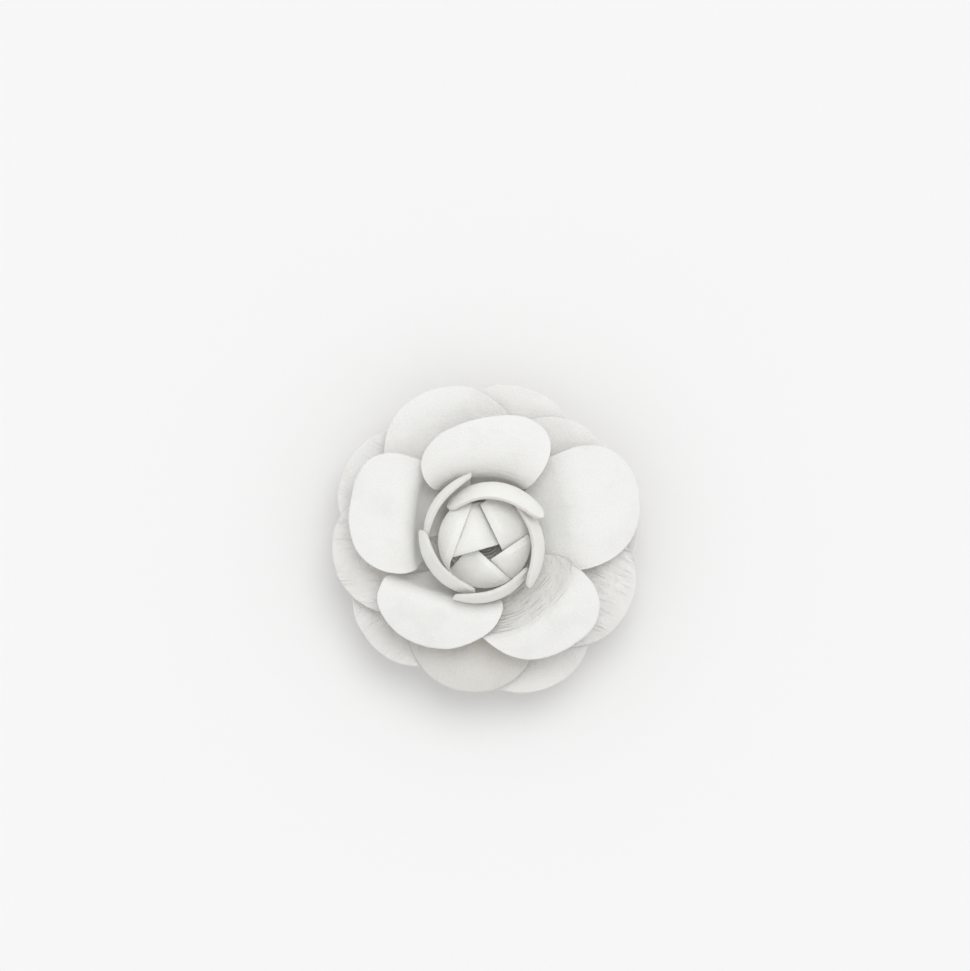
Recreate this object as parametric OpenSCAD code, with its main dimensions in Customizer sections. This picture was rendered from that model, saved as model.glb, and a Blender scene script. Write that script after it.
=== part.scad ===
// Leather camellia on a sprung hair clip.
// The flower faces +Z and lies on its back, the clip runs along X under it,
// and z = 0 is the flat underside of the clip's lower arm.

/* [Leather] */
// Thickness of every petal
leather = 1.0; // [0.6:0.1:1.4]
// Glue space between one petal and the next
petal_gap = 0.35; // [0.3:0.05:0.6]
// Distance from the flower's axis to the glued heel of every petal
heel_radius = 6; // [5:0.25:7]
// Width of the glued heel
heel_width = 8; // [6:0.5:9]

/* [Outer petals] */
// Length of an outer petal, heel to tip along the leather
outer_length = 45; // [36:0.5:54]
// Width of an outer petal
outer_width = 52; // [40:0.5:58]
// Length of its rounded end
outer_end = 24; // [16:0.5:28]
// Angle at which an outer petal leaves the base
outer_lift = 3; // [1:0.5:4]

/* [Middle petals] */
// Length of a middle petal, heel to tip along the leather
middle_length = 44.5; // [36:0.5:54]
// Width of a middle petal
middle_width = 50; // [40:0.5:56]
// Length of its rounded end
middle_end = 24; // [16:0.5:28]
// Angle at which a middle petal leaves the ring below
middle_lift = 4; // [3:0.5:8]

/* [Inner petals] */
// Length of an inner petal, heel to tip along the leather
inner_length = 40; // [36:0.5:44]
// Width of an inner petal
inner_width = 41; // [34:0.5:44]
// Length of its rounded end
inner_end = 17; // [12:0.5:20]
// Angle through which an inner petal turns up into the cup's wall
cup_turn = 56; // [48:1:60]
// Angle through which it folds back over the cup's edge
fold_turn = 78; // [66:1:84]

/* [Wrap petals] */
// Length of a wrap petal, heel to top edge along the leather
wrap_length = 25; // [23:0.25:26]
// Width of a wrap petal
wrap_width = 31; // [26:0.5:33]
// How far a wrap petal steps in towards the bud over a sixth of a turn
wrap_step = 2.6; // [2:0.1:2.8]

/* [Bud] */
// Radius of the folded bud
bud_radius = 15; // [13.5:0.1:15.6]
// How far the bud's top drops from its middle to its rim
bud_dome = 7; // [5:0.25:8]
// Height of the bud's top over the heels of the wrap petals
bud_height = 15; // [13:0.1:15.4]

/* [Base] */
// Radius of the leather disc that the petals are glued to
base_radius = 15; // [12:0.5:20]
// Thickness of that disc
base_thick = 1.0; // [0.6:0.1:1.6]
// Radius of the felt disc under it
felt_radius = 16.5; // [13:0.5:17]
// Thickness of the felt disc
felt_thick = 1.2; // [0.8:0.1:2]
// Length of the felt strap along the clip
strap_length = 13.5; // [10:0.5:16]
// Width of the strap across the clip
strap_width = 25; // [20:0.5:28]
// Thickness of the strap
strap_thick = 0.8; // [0.5:0.1:1.2]

/* [Clip] */
// Reach of the jaws in front of the flower's axis
clip_front = 30; // [26:0.5:36]
// Reach of the thumb tabs behind the flower's axis
clip_back = 28; // [25:0.5:34]
// Width of both arms
arm_width = 9; // [8:0.25:12]
// Thickness of the sheet steel
arm_thick = 0.8; // [0.6:0.05:1]
// Clear height of the hair gap
hair_gap = 4.8; // [4.4:0.1:7]
// Distance of the hinge pin behind the flower's axis
hinge_back = 11; // [9:0.5:12]
// Diameter of the hinge pin
pin_d = 1.6; // [1.2:0.1:2]
// Diameter of the spring's wire
wire_d = 0.7; // [0.5:0.05:0.8]
// Angle at which the upper thumb tab rises
tab_angle = 17; // [14:1:20]
// Number of teeth in the upper jaw's lip
teeth = 4; // [3:1:6]

/* [Hidden] */
$fn = 64;
CREAM = [0.95, 0.94, 0.92];
FELT = [0.93, 0.92, 0.9];
STEEL = [0.75, 0.76, 0.78];

// Heights, counted up from the clip's underside. Each glued layer keeps a hair's breadth.
seat = 0.05;
strap_z = arm_thick + hair_gap;
upper_z = strap_z + strap_thick + seat;
felt_z = upper_z + arm_thick + seat;
base_z = felt_z + felt_thick + seat;
base_top = base_z + base_thick;

// Neighbouring petals lie like shingles: over SHINGLE degrees the leather climbs by one pitch.
SHINGLE = 60;
// Rings of petals lie this many pitches apart, and the cup's petals have a little more room.
RING_PITCHES = 2.6;
cup_slack = 0.3;
pitch = leather + petal_gap;
cup_pitch = pitch + cup_slack;
heel_climb = pitch * (heel_width / 2 / heel_radius * 180 / PI) / SHINGLE;
ring_step = RING_PITCHES * pitch;
outer_heel = base_top + heel_climb + leather / 2 + petal_gap;
middle_heel = outer_heel + ring_step;
inner_heel = middle_heel + ring_step;
wrap_heel = inner_heel + ring_step + cup_slack;

// Each profile is a chain of bends, [length, angle turned], from the heel outwards.
// The wraps turn up outside the bud's rim. The cup's wall stands lower and turns up nearer the axis.
wrap_inset = 4.5;
cup_tuck = 2.2;
wrap_base = bud_radius - wrap_inset;
cup_base = wrap_base - cup_tuck;
near_run = 10;
half_run = 12;
far_run = 14;
rim_run = 16;
outer_bends = [[near_run, 7], [half_run, 3], [far_run, -9], [rim_run, -24]];
middle_climb = [[near_run, 8], [half_run, 2]];
middle_fall = [[far_run, -12], [rim_run, -24]];
flare_run = 13;
flare_bends = [[flare_run, -12], [far_run, -18]];
wrap_run = 7;
lean_run = 8;
lean_bends = [[wrap_run, 79], [lean_run, 32]];
cup_lift = 8;
wrap_lift = 20;

// The petals are laid by hand, so each has its own bearing, share of the ring's length and so on.
outer_bearing = [75, 4, -65, -138, 150];
outer_share = [1.01, 0.97, 1.02, 0.97, 1];
middle_bearing = [110, 42, -25, -97, -175];
middle_share = [1.03, 0.98, 1.035, 0.975, 0.975];
outer_blunt = 2.3;
middle_blunt = [2.5, 2.3, 2.3, 2.3, 2.3];
// The lower middle petals hang more than the upper ones.
middle_droop = [1, 1, 1.3, 1.7, 1.4];
inner_bearing = [92.5, 16, -55, -117, 164];
inner_share = [0.835, 1.13, 0.954, 0.915, 0.915];
inner_wide = [1.366, 1, 1.23, 1.034, 1.02];
inner_round = [0.67, 1.18, 1.04, 0.926, 1.06];
inner_blunt = [2.35, 2.2, 2.4, 1.72, 2.5];
inner_skew = [-0.132, 0, 0.107, -0.08, 0] * inner_width;
// Each turns up in two steps, a slope and a wall. The second and third start up sooner,
// the third has the longest slope, and after the fold all fall alike.
inner_rise = [8, 16, 12, 8, 8];
inner_slope = [4, 6, 9, 4, 4];
slope_turn = [0.5, 0.0536, 0.0357, 0.5, 0.5] * cup_turn;
inner_wall = [4, 6, 7, 4, 4];
wall_turn = [0.5, 0.0536, 0.536, 0.5, 0.5] * cup_turn;
inner_fold = [8.5, 8.5, 6.5, 8.5, 8.5];
cup_fall = fold_turn - cup_turn - inner_rise[0] - cup_lift;
// The first inner petal lies over both neighbours, the second under both, the rest are shingled.
inner_raise = [0.7, -0.65, 0, 0, 0];
inner_shingle = [0, 0.5, 1, 1, 1];
// Bearings of the cup's five flat sides and their distances as shares of the round cup's.
cup_bearing = [90, 8, -50, -108, 173];
cup_share = [1.12, 1.06, 1.06, 1, 1.16];
// How sharply a petal turns the cup's corners, and how far it stands out from the next petal's side.
inner_corner = [3, 6, 6, 6, 6];
inner_pass = [1, 1, 1, 1.3, 1];
wrap_bearing = [139.5, 80, 2, -75, -145];
wrap_share = [0.96, 1.056, 0.98, 0.936, 0.98];
wrap_wide = [0.91, 1.145, 1, 0.935, 0.935];
// The first wrap stands a little outside the spiral of the others.
wrap_out = [1.8, 0, 0, 0, 0];
wrap_rise = 5;
wrap_raise = [0.03, -0.05, 0, 0, -0.08];
wrap_shingle = [0.86, 1, 1, 1, 1];
wrap_blunt = 2.2;
wrap_end = 7;
// The petal's width grows from the heel over this length.
OUTER_GROW = 24;
inner_grow = [29, 22, 22, 22, 22];
WRAP_GROW = 20;

// The bud's folded petals turn round a small opening beside the axis. Shares of the bud's radius:
// how far each straight cut edge lies from the opening, and how far it runs to either side.
bud_bearing = [105.6, 26, -56, -132, 159.6];
bud_opening = [0.133, -0.26] * bud_radius;
bud_cut = [0.133, 0.26, 0.105, 0.12, 0.727] * bud_radius;
bud_right = [-0.253, -0.067, -0.067, -0.433, -0.853] * bud_radius;
bud_left = [0.833, 1.033, 0.9, 0.7, 0.533] * bud_radius;
bud_rim = [110, 38, -38, -100, 169];
bud_fan = [46, 42, 42, 40, 57];
bud_reach = [0.84, 0.97, 1, 1, 0.97] * bud_radius;
// Each one is tilted about its bearing, steeply by the opening and by bud_rise at most,
// so that it passes over one neighbour and under the other. The last lies over the first.
TILT_PITCHES = 1.2;
tilt_run = 0.187;
bud_clear = 0.25;
bud_rise = TILT_PITCHES * (leather + bud_clear);
bud_ease = tilt_run * bud_radius;
bud_tilt_bearing = [105.6, 26, -56, -132, 105.6];
bud_raise = [0, 0, 0, 0, leather + bud_clear];
bud_top = wrap_heel + bud_height;
// The plug inside: a stalk between the heels, then a head under the folded petals.
core_inset = 1.9;
core_radius = bud_radius - core_inset;
stalk_inset = 1;
stalk_radius = heel_radius - stalk_inset;
stalk_rise = 2.6;
core_lip = 1;
// The roll's middle is pushed in, so the opening between the folded petals looks deep.
core_dip = 4;
dip_radius = 0.62 * bud_radius;

// The strap ends this far behind the flower's axis, in front of the hinge,
// and its other end stays this far from the bend of the jaw.
strap_back = 2;
strap_clear = 0.5;

// Hinge. The lower arm's ears stand between the upper arm's ears.
hinge_z = (arm_thick + upper_z) / 2;
ear_r = 2.2;
ear_slip = 0.2;
upper_ear_y = arm_width / 2 - arm_thick;
lower_ear_y = upper_ear_y - ear_slip - arm_thick;
pin_fit = 0.03;
pin_run = 0.06;
pin_head_lip = 0.6;
pin_head_t = 0.5;

// Upper arm: from the tail of its thumb tab, along the felt, down to the toothed lip.
bend_run = 2;
BEND_STEPS = 6;
tab_start = felt_radius + bend_run;
tab_run = (clip_back - tab_start) / cos(tab_angle);
jaw_start = strap_length - strap_back + strap_clear;
jaw_angle = 15;
tooth_gap = 0.15;
tooth_depth = 0.9;
arm_corner = 2.5;
// Cutters run this far past what they cut.
PAST = 20;

// Spring: turns round the pin, legs back under the thumb tabs.
coil_slack = 0.55;
coil_r = pin_d / 2 + wire_d / 2 + coil_slack;
coil_gap = 0.45;
coil_turns = 2.5;
leg_length = 9;
leg_rest = 0.2;
RINGS_PER_TURN = 8;
WIRE_SIDES = 6;

// Rows and columns of each kind of petal's grid.
FLAT_GRID = [9, 12];
CUP_GRID = [16, 12];
WRAP_GRID = [12, 10];
BUD_GRID = [6, 8];

// Sum of a list.
function total(list, i = 0) = i < len(list) ? list[i] + total(list, i + 1) : 0;

// [distance, height, heading] after length s along a chain of bends that starts at `from`.
function bent(s, from, bends, i = 0) =
  let (
    run = bends[i][0],
    turn = bends[i][1],
    last = i == len(bends) - 1,
    ds = last ? s : min(s, run),
    heading = from[2] + turn * ds / run,
    arc = turn == 0 ? 0 : run / turn * 180 / PI,
    along = turn == 0 ? ds * cos(heading) : arc * (sin(heading) - sin(from[2])),
    up = turn == 0 ? ds * sin(heading) : arc * (cos(from[2]) - cos(heading)),
    to = [from[0] + along, from[1] + up, heading]
  )
  last || s <= run ? to : bent(s - run, to, bends, i + 1);

// How far a five-sided cup with rounded corners lies out at an angle, as a share of the round cup.
function cup_pull(angle, sides, corner) =
  pow(total([for (k = [0:4]) pow(max(cos(angle - cup_bearing[k]), 0) / sides[k], corner)]), -1 / corner);

// Smooth step from 0 to 1.
function ease(x) = let (t = min(max(x, 0), 1)) t * t * (3 - 2 * t);

// A point of a petal. u runs from heel to tip, v from -1 to 1 across it (1 is anticlockwise),
// and off is the distance from the leather's middle layer.
function petal_point(u, v, off, ring, petal) =
  let (
    start = ring[0],
    bends = ring[1],
    grow = ring[2],
    low_pitch = ring[3],
    high_pitch = ring[4],
    sides = ring[5],
    corner = ring[6],
    cupped = len(sides) > 0,
    bearing = petal[0],
    length = petal[1],
    end = petal[2],
    width = petal[3],
    blunt = petal[4],
    skew = petal[5],
    raise = petal[6],
    shingle = petal[7],
    across = sin(90 * v),
    tip = length - end + end * pow(max(1 - pow(abs(across), blunt), 0), 1 / blunt) + skew * across,
    s = u * tip,
    grown = ease(s / grow),
    half = (heel_width + (width - heel_width) * grown) / 2,
    at = bent(s, start, bends),
    reach = at[0] * (cupped ? cup_pull(bearing, sides, corner) : 1),
    swing = cupped ? atan2(half * across, reach) : half * across / reach * 180 / PI,
    layer = (raise + shingle * swing / SHINGLE) * (low_pitch + (high_pitch - low_pitch) * grown) + off,
    r = (at[0] - layer * sin(at[2])) * (cupped ? cup_pull(bearing + swing, sides, corner) : 1),
    angle = bearing + swing
  )
  [r * cos(angle), r * sin(angle), at[1] + layer * cos(at[2])];

// A point of a bud petal. u runs from the cut edge by the opening to the rim.
function bud_point(u, v, off, i) =
  let (
    c = cos(bud_bearing[i]),
    s = sin(bud_bearing[i]),
    rim = bud_rim[i] + bud_fan[i] * v,
    out = bud_reach[i] * [cos(rim), sin(rim)] - bud_opening,
    far = [out[0] * c + out[1] * s, out[1] * c - out[0] * s],
    near = [bud_cut[i], bud_right[i] + (bud_left[i] - bud_right[i]) * (v + 1) / 2],
    p = near + (far - near) * u,
    from_opening = [p[0] * c - p[1] * s, p[0] * s + p[1] * c],
    flat = bud_opening + from_opening,
    side = from_opening[1] * cos(bud_tilt_bearing[i]) - from_opening[0] * sin(bud_tilt_bearing[i]),
    tilt = side / norm([side, bud_ease]),
    share = norm(flat) / bud_radius
  )
  [flat[0], flat[1], bud_top - bud_dome * share * share + bud_rise * tilt + bud_raise[i] + off];

// Closed sheet from two sets of points, the upper one first, each a grid of rows and columns.
module sheet(upper, lower, grid) {
  rows = grid[0];
  cols = grid[1];
  n = len(upper);
  function at(i, j) = i * (cols + 1) + j;
  faces_up = [for (i = [0:rows - 1], j = [0:cols - 1], t = [0, 1])
    t == 0 ? [at(i, j), at(i + 1, j + 1), at(i + 1, j)] : [at(i, j), at(i, j + 1), at(i + 1, j + 1)]];
  faces_down = [for (f = faces_up) [f[2] + n, f[1] + n, f[0] + n]];
  edge = concat(
    [for (i = [0:rows - 1]) at(i, 0)],
    [for (j = [0:cols - 1]) at(rows, j)],
    [for (i = [rows:-1:1]) at(i, cols)],
    [for (j = [cols:-1:1]) at(0, j)]
  );
  rim = [for (k = [0:len(edge) - 1], t = [0, 1])
    let (a = edge[k], b = edge[(k + 1) % len(edge)])
    t == 0 ? [a, b, b + n] : [a, b + n, a + n]];
  polyhedron(points = concat(upper, lower), faces = concat(faces_up, faces_down, rim), convexity = 6);
}

module petal(ring, petal, grid) {
  upper = [for (i = [0:grid[0]], j = [0:grid[1]])
    petal_point(i / grid[0], 2 * j / grid[1] - 1, leather / 2, ring, petal)];
  lower = [for (i = [0:grid[0]], j = [0:grid[1]])
    petal_point(i / grid[0], 2 * j / grid[1] - 1, -leather / 2, ring, petal)];
  color(CREAM) sheet(upper, lower, grid);
}

// Outer ring, nearly flat, its ends turning down.
module outer_petal(i) {
  ring = [[heel_radius, outer_heel, outer_lift], outer_bends, OUTER_GROW, pitch, pitch, [], 0];
  length = outer_length * outer_share[i];
  petal(ring, [outer_bearing[i], length, outer_end, outer_width, outer_blunt, 0, 0, 1], FLAT_GRID);
}

// Middle ring, a little more cupped and set between the outer petals.
module middle_petal(i) {
  bends = concat(middle_climb, [for (b = middle_fall) [b[0], b[1] * middle_droop[i]]]);
  ring = [[heel_radius, middle_heel, middle_lift], bends, OUTER_GROW, pitch, pitch, [], 0];
  length = middle_length * middle_share[i];
  petal(ring, [middle_bearing[i], length, middle_end, middle_width, middle_blunt[i], 0, 0, 1], FLAT_GRID);
}

// Inner ring: a deep cup whose petals fold back over its edge.
module inner_petal(i) {
  fold = cup_lift + inner_rise[i] + slope_turn[i] + wall_turn[i] + cup_fall;
  wall = [[cup_base, inner_rise[i]], [inner_slope[i], slope_turn[i]], [inner_wall[i], wall_turn[i]]];
  bends = concat(wall, [[inner_fold[i], -fold]], flare_bends);
  sides = [for (k = [0:4]) cup_share[k] * (k == (i + 1) % 5 ? inner_pass[i] : 1)];
  start = [heel_radius, inner_heel, cup_lift];
  ring = [start, bends, inner_grow[i], cup_pitch, cup_pitch, sides, inner_corner[i]];
  length = inner_length * inner_share[i];
  end = inner_end * inner_round[i];
  width = inner_width * inner_wide[i];
  petal(ring, [inner_bearing[i], length, end, width, inner_blunt[i], inner_skew[i],
    inner_raise[i], inner_shingle[i]], CUP_GRID);
}

// Wrap ring: upright petals that spiral in round the bud and lean in over its rim.
module wrap_petal(i) {
  bends = concat([[wrap_base + wrap_out[i], wrap_rise]], lean_bends);
  ring = [[heel_radius, wrap_heel, wrap_lift], bends, WRAP_GROW, pitch, wrap_step, [], 0];
  length = wrap_length * wrap_share[i];
  width = wrap_width * wrap_wide[i];
  petal(ring, [wrap_bearing[i], length, wrap_end, width, wrap_blunt, 0, wrap_raise[i], wrap_shingle[i]],
    WRAP_GRID);
}

// Folded petal of the bud.
module bud_petal(i) {
  rows = BUD_GRID[0];
  cols = BUD_GRID[1];
  upper = [for (k = [0:rows], j = [0:cols]) bud_point(k / rows, 2 * j / cols - 1, leather / 2, i)];
  lower = [for (k = [0:rows], j = [0:cols]) bud_point(k / rows, 2 * j / cols - 1, -leather / 2, i)];
  color(CREAM) sheet(upper, lower, BUD_GRID);
}

// Rolled leather plug that the petals stand round and the bud is folded over.
module bud_core() {
  foot = base_top + seat;
  neck = wrap_heel + stalk_rise;
  // Under the lowest side of any folded petal at a distance r from the axis.
  function crown(r) = bud_top - bud_dome * pow(r / bud_radius, 2) - bud_rise - leather / 2 - petal_gap
    - core_dip * ease(2 - 2 * r / dip_radius);
  steps = 6;
  head = [for (k = [0:steps]) let (r = core_radius * (1 - k / steps)) [r, crown(r)]];
  brim = crown(core_radius) - core_lip;
  stalk = [[0, foot], [stalk_radius, foot], [stalk_radius, neck], [core_radius, brim]];
  color(CREAM) rotate_extrude() polygon(concat(stalk, head));
}

module base_disc() {
  color(CREAM) translate([0, 0, base_z]) cylinder(r = base_radius, h = base_thick);
}

module felt_backing() {
  color(FELT) translate([0, 0, felt_z]) cylinder(r = felt_radius, h = felt_thick);
}

// Felt strap that holds the upper arm against the felt disc.
module felt_strap() {
  side = arm_width / 2 + seat;
  top = felt_z - seat;
  half = [
    [side + strap_thick, strap_z], [side + strap_thick, top - strap_thick],
    [strap_width / 2, top - strap_thick], [strap_width / 2, top], [side, top],
    [side, strap_z + strap_thick]
  ];
  other = [for (k = [len(half) - 1:-1:0]) [-half[k][0], half[k][1]]];
  color(FELT) translate([strap_back, 0, 0]) rotate([90, 0, -90]) linear_extrude(strap_length)
    polygon(concat(half, other));
}

// Lengths along a chain at which a strip needs a point: some in each bend, one after a straight run.
function stops(bends, i = 0, done = 0) =
  i == len(bends) ? [] :
  let (n = bends[i][1] == 0 ? 1 : BEND_STEPS)
  concat([for (k = [1:n]) done + bends[i][0] * k / n], stops(bends, i + 1, done + bends[i][0]));

// Strip of sheet steel along a chain of bends in the XZ plane, centred on Y.
module strip(from, bends, width) {
  path = concat([from], [for (s = stops(bends)) bent(s, from, bends)]);
  edge = [for (p = path) [p[0] - arm_thick / 2 * sin(p[2]), p[1] + arm_thick / 2 * cos(p[2])]];
  back = [for (k = [len(path) - 1:-1:0]) let (p = path[k])
    [p[0] + arm_thick / 2 * sin(p[2]), p[1] - arm_thick / 2 * cos(p[2])]];
  rotate([90, 0, 0]) linear_extrude(width, center = true) polygon(concat(edge, back));
}

// Pair of hinge ears whose inner faces stand at +-y, from the arm at arm_z to the pin.
module ears(y, arm_z) {
  low = min(arm_z, hinge_z);
  high = max(arm_z, hinge_z);
  for (m = [0, 1]) mirror([0, m, 0]) translate([hinge_back, y + arm_thick, 0]) rotate([90, 0, 0])
    linear_extrude(arm_thick) {
      translate([-ear_r, low]) square([2 * ear_r, high - low]);
      translate([0, hinge_z]) circle(ear_r);
    }
}

// Plan of an arm: straight sides and rounded ends.
module plan(front, back) {
  inside = arm_width / 2 - arm_corner;
  linear_extrude(2 * PAST, center = true) {
    translate([-front, -inside]) square([front + back, 2 * inside]);
    translate([arm_corner - front, -arm_width / 2]) square([front + back - 2 * arm_corner, arm_width]);
    for (x = [arm_corner - front, back - arm_corner], y = [-inside, inside])
      translate([x, y]) circle(arm_corner);
  }
}

module pin_hole(clear) {
  translate([hinge_back, 0, hinge_z]) rotate([90, 0, 0])
    cylinder(d = pin_d + 2 * clear, h = 2 * arm_width, center = true);
}

// Upper arm: thumb tab, the flat under the felt, the sloping jaw and its toothed lip.
module upper_arm() {
  mid = upper_z + arm_thick / 2;
  bend_drop = bend_run * 180 / PI / tab_angle * (1 - cos(tab_angle));
  tail = [clip_back, mid + bend_drop + tab_run * sin(tab_angle), 180 + tab_angle];
  flat_run = tab_start + jaw_start - bend_run;
  lip_low = arm_thick + tooth_gap;
  slope_run = (clip_front - arm_thick / 2 - jaw_start - bend_run) / cos(jaw_angle);
  bends = [[tab_run, 0], [bend_run, -tab_angle], [flat_run, 0], [bend_run, jaw_angle], [slope_run, 0]];
  jaw_end = bent(total([for (b = bends) b[0]]), tail, bends);
  pitch_y = arm_width / teeth;
  color(STEEL) difference() {
    union() {
      intersection() {
        strip(tail, bends, arm_width);
        plan(clip_front + PAST, clip_back);
      }
      ears(upper_ear_y, mid);
      translate([jaw_end[0] - arm_thick / 2, -arm_width / 2, lip_low])
        cube([arm_thick, arm_width, jaw_end[1] - lip_low + arm_thick / 2]);
    }
    pin_hole(pin_fit);
    for (k = [0:teeth])
      translate([jaw_end[0], (k - teeth / 2) * pitch_y, lip_low]) rotate([90, 0, 90])
        linear_extrude(3 * arm_thick, center = true)
          polygon([[-pitch_y / 2, -seat], [pitch_y / 2, -seat], [0, tooth_depth]]);
  }
}

// Lower arm: a flat strip from jaw to thumb tab, with ears bent up.
module lower_arm() {
  color(STEEL) difference() {
    union() {
      intersection() {
        translate([-clip_front, -arm_width / 2, 0]) cube([clip_front + clip_back, arm_width, arm_thick]);
        plan(clip_front, clip_back);
      }
      ears(lower_ear_y, arm_thick / 2);
    }
    pin_hole(pin_run);
  }
}

// Riveted pin, a head on either side.
module hinge_pin() {
  head_y = arm_width / 2 + seat;
  color(STEEL) translate([hinge_back, 0, hinge_z]) rotate([90, 0, 0]) {
    cylinder(d = pin_d, h = 2 * head_y, center = true);
    for (m = [0, 1]) mirror([0, 0, m]) translate([0, 0, head_y])
      cylinder(r = pin_d / 2 + pin_head_lip, h = pin_head_t);
  }
}

// Middle line of the spring's wire: lower leg, turns round the pin, upper leg.
coil_pitch = wire_d + coil_gap;
coil_half = coil_turns * coil_pitch / 2;
coil_rings = coil_turns * RINGS_PER_TURN;
leg_low = arm_thick + leg_rest + wire_d / 2 - hinge_z;
leg_high = upper_z - leg_rest - wire_d / 2 - hinge_z;
spring_path = concat(
  [for (k = [0, 1, 2]) let (f = 1 - k / 3) [leg_length * f, -coil_half, -coil_r + (leg_low + coil_r) * f]],
  [for (k = [0:coil_rings]) let (a = -90 - 360 * k / RINGS_PER_TURN)
    [coil_r * cos(a), -coil_half + coil_pitch * k / RINGS_PER_TURN, coil_r * sin(a)]],
  [for (k = [1, 2, 3]) let (f = k / 3) [leg_length * f, coil_half, coil_r + (leg_high - coil_r) * f]]
);
spring_gap = min([for (i = [0:len(spring_path) - 1], j = [0:len(spring_path) - 1])
  if (j - i >= RINGS_PER_TURN / 2) norm(spring_path[i] - spring_path[j]) - wire_d]);
echo(spring_least_gap = spring_gap);

// Tube of wire along a list of points, one closed skin.
module wire(path) {
  n = len(path);
  function dir(k) = let (d = path[min(k + 1, n - 1)] - path[max(k - 1, 0)]) d / norm(d);
  function ring(k) = let (
      d = dir(k),
      side = cross(d, [0, 1, 0]) / norm(cross(d, [0, 1, 0])),
      up = cross(side, d)
    ) [for (t = [0:WIRE_SIDES - 1]) let (a = 360 * t / WIRE_SIDES)
      path[k] + wire_d / 2 * (cos(a) * side + sin(a) * up)];
  function at(k, t) = k * WIRE_SIDES + t % WIRE_SIDES;
  skin = [for (k = [0:n - 2], t = [0:WIRE_SIDES - 1], h = [0, 1])
    h == 0 ? [at(k, t), at(k, t + 1), at(k + 1, t + 1)] : [at(k, t), at(k + 1, t + 1), at(k + 1, t)]];
  first = [for (t = [1:WIRE_SIDES - 2]) [at(0, 0), at(0, t + 1), at(0, t)]];
  last = [for (t = [1:WIRE_SIDES - 2]) [at(n - 1, 0), at(n - 1, t), at(n - 1, t + 1)]];
  polyhedron(points = [for (k = [0:n - 1], p = ring(k)) p], faces = concat(skin, first, last), convexity = 8);
}

module torsion_spring() {
  color(STEEL) translate([hinge_back, 0, hinge_z]) wire(spring_path);
}

for (i = [0:4]) {
  outer_petal(i);
  middle_petal(i);
  inner_petal(i);
  wrap_petal(i);
  bud_petal(i);
}
bud_core();
base_disc();
felt_backing();
felt_strap();
upper_arm();
lower_arm();
hinge_pin();
torsion_spring();
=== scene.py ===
import math

import bpy
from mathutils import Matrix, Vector


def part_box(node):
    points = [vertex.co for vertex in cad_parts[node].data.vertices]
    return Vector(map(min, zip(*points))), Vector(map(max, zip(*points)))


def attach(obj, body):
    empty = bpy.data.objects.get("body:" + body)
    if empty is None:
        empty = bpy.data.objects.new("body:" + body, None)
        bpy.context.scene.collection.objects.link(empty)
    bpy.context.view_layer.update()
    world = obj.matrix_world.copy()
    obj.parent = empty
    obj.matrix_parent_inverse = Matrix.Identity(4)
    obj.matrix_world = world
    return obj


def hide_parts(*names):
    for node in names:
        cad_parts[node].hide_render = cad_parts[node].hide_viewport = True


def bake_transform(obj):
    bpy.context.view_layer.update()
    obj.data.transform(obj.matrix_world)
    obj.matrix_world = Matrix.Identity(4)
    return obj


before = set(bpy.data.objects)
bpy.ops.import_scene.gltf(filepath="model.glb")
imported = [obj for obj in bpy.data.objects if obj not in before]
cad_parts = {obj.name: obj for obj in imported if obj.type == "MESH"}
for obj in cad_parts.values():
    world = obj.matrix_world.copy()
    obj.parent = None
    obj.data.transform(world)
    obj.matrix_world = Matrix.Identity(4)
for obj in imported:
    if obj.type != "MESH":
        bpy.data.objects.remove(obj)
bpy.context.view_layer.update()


# Base disc: a round punched from the flower's own white leather, roughened on both faces for glue.
# The heels of all petals are glued to its upper face and the felt disc to its lower one.
mm = 0.001


class Value:
    """One number in a node tree. Arithmetic on it adds math nodes, so that a rule reads as a formula."""

    def __init__(self, tree, socket):
        self.tree = tree
        self.socket = socket

    def math(self, operation, *others):
        step = add(self.tree, "ShaderNodeMath", dict(enumerate((self, *others))), operation=operation)
        return Value(self.tree, step.outputs[0])

    def __add__(self, other):
        return self.math("ADD", other)

    def __sub__(self, other):
        return self.math("SUBTRACT", other)

    def __rsub__(self, other):
        return self * -1 + other

    def __mul__(self, other):
        return self.math("MULTIPLY", other)

    def __truediv__(self, other):
        return self.math("DIVIDE", other)

    def __rtruediv__(self, other):
        return self ** -1 * other

    def __pow__(self, other):
        return self.math("POWER", other)

    __radd__ = __add__
    __rmul__ = __mul__

    def sin(self):
        return self.math("SINE")

    def cos(self):
        return self.math("COSINE")

    def size(self):
        return self.math("ABSOLUTE")

    def at_least(self, other):
        return self.math("MAXIMUM", other)

    def at_most(self, other):
        return self.math("MINIMUM", other)

    def above(self, other):
        return self.math("GREATER_THAN", other)

    def eased(self):
        """Smooth step from 0 to 1."""
        t = self.at_least(0).at_most(1)
        return t * t * (3 - 2 * t)


def feed(tree, source, socket):
    """Links a value or a socket to a socket, or writes a plain setting into it."""
    if isinstance(source, Value):
        tree.links.new(source.socket, socket)
    elif isinstance(source, bpy.types.NodeSocket):
        tree.links.new(source, socket)
    else:
        socket.default_value = source


def add(tree, kind, inputs=(), **settings):
    """New node with its settings, and its inputs fed by name or number."""
    made = tree.nodes.new(kind)
    for name, setting in settings.items():
        setattr(made, name, setting)
    for name, source in dict(inputs).items():
        feed(tree, source, made.inputs[name])
    return made


def paint(code):
    """Colour from its usual six-digit code."""
    shades = [int(code[k:k + 2], 16) / 255 for k in (1, 3, 5)]
    return [c / 12.92 if c <= 0.04045 else ((c + 0.055) / 1.055) ** 2.4 for c in shades] + [1]


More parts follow.
